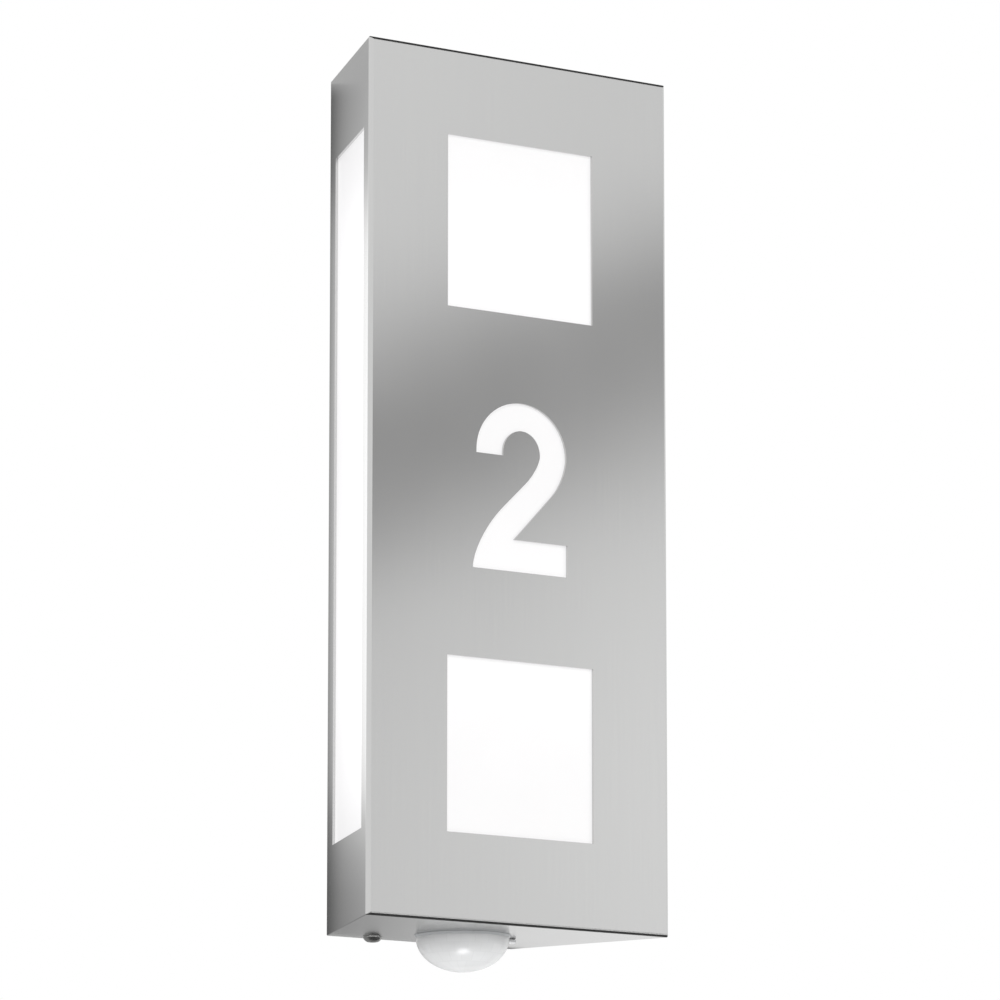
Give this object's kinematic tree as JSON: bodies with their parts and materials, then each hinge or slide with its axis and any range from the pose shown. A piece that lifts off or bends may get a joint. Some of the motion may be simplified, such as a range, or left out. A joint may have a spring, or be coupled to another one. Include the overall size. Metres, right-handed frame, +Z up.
{
  "type": "illuminated house number sign",
  "caption": "Trapezoid stainless wall light with a cut-out house number, square front windows, tall side light slots and a dome motion sensor in its underside.",
  "frame": {"origin": "middle of the four wall screw slots, in the plane of the wall", "axes": "+Z up the wall, +Y into the wall, +X to the right as seen from the street; the front faces -Y"},
  "size_m": [0.164, 0.083, 0.4167],
  "materials": {
    "stainless_sheet": "fine brushed",
    "opal_acrylic": "smooth opal",
    "stainless_fixings": "bright",
    "lens_polyethylene": "satin milky",
    "sensor_trim": "satin",
    "seal_rubber": "matt",
    "sensor_case": "moulded satin",
    "circuit_board": "solder resist",
    "detector_can": "plated",
    "relay_case": "moulded",
    "trimmer_plastic": "moulded satin",
    "lead_grey": "smooth pvc",
    "plug_plastic": "moulded satin",
    "zinc_steel": "zinc plated",
    "block_plastic": "moulded satin",
    "brass": "bright",
    "lead_brown": "smooth silicone",
    "lead_blue": "smooth silicone",
    "lead_green_yellow": "smooth silicone",
    "holder_plastic": "moulded satin",
    "lamp_opal": "smooth opal",
    "lamp_body": "moulded satin",
    "lamp_cap_metal": "plated",
    "lamp_tip_glass": "vitreous"
  },
  "bodies": {
    "wall_base": {"wall_plate": "zinc_steel", "wall_gasket": "seal_rubber", "cable_grommet": "seal_rubber", "terminal_block": "block_plastic", "terminal_screws": "zinc_steel", "block_screw": "zinc_steel", "socket_pins": "brass", "live_leads": "lead_brown", "neutral_leads": "lead_blue", "earth_lead": "lead_green_yellow", "earth_stud": "brass", "earth_washer": "zinc_steel", "earth_nut": "zinc_steel", "upper_bracket": "zinc_steel", "lower_bracket": "zinc_steel", "bracket_screws": "zinc_steel", "holder_screws": "zinc_steel", "upper_lampholder": "holder_plastic", "lower_lampholder": "holder_plastic", "upper_screw_sleeve": "brass", "lower_screw_sleeve": "brass", "upper_contact": "brass", "lower_contact": "brass"},
    "cover": {"housing_shell": "stainless_sheet", "front_diffuser": "opal_acrylic", "left_diffuser": "opal_acrylic", "right_diffuser": "opal_acrylic", "diffuser_studs": "stainless_fixings", "diffuser_nuts": "stainless_fixings", "housing_screws": "stainless_fixings", "housing_nuts": "stainless_fixings", "sensor_lens": "lens_polyethylene", "sensor_bezel": "sensor_trim", "sensor_seal": "seal_rubber", "sensor_housing": "sensor_case", "sensor_lid": "sensor_case", "sensor_board": "circuit_board", "pyro_detector": "detector_can", "sensor_relay": "relay_case", "trimmer_bases": "relay_case", "sensor_lead": "lead_grey", "sensor_plug": "plug_plastic"},
    "time_knob": {"time_trimmer": "trimmer_plastic"},
    "lux_knob": {"lux_trimmer": "trimmer_plastic"},
    "upper_lamp": {"upper_lamp_bulb": "lamp_opal", "upper_lamp_collar": "lamp_body", "upper_lamp_cap": "lamp_cap_metal", "upper_lamp_tip": "lamp_tip_glass"},
    "lower_lamp": {"lower_lamp_bulb": "lamp_opal", "lower_lamp_collar": "lamp_body", "lower_lamp_cap": "lamp_cap_metal", "lower_lamp_tip": "lamp_tip_glass"}
  },
  "joints": [
    {"name": "cover_pull_off", "type": "slide", "parent": "wall_base", "child": "cover", "axis": [0, -1, 0], "range_m": [0, 0.13]},
    {"name": "time_knob_turn", "type": "hinge", "parent": "cover", "child": "time_knob", "pos_m": [0.0265, -0.036, -0.2], "axis": [0, 0, 1], "range_deg": [0, 270]},
    {"name": "lux_knob_turn", "type": "hinge", "parent": "cover", "child": "lux_knob", "pos_m": [0.0265, -0.025, -0.2], "axis": [0, 0, 1], "range_deg": [0, 270]},
    {"name": "upper_lamp_out", "type": "slide", "parent": "wall_base", "child": "upper_lamp", "axis": [0, 0, -1], "range_m": [0, 0.028]},
    {"name": "lower_lamp_out", "type": "slide", "parent": "wall_base", "child": "lower_lamp", "axis": [0, 0, 1], "range_m": [0, 0.028]}
  ]
}
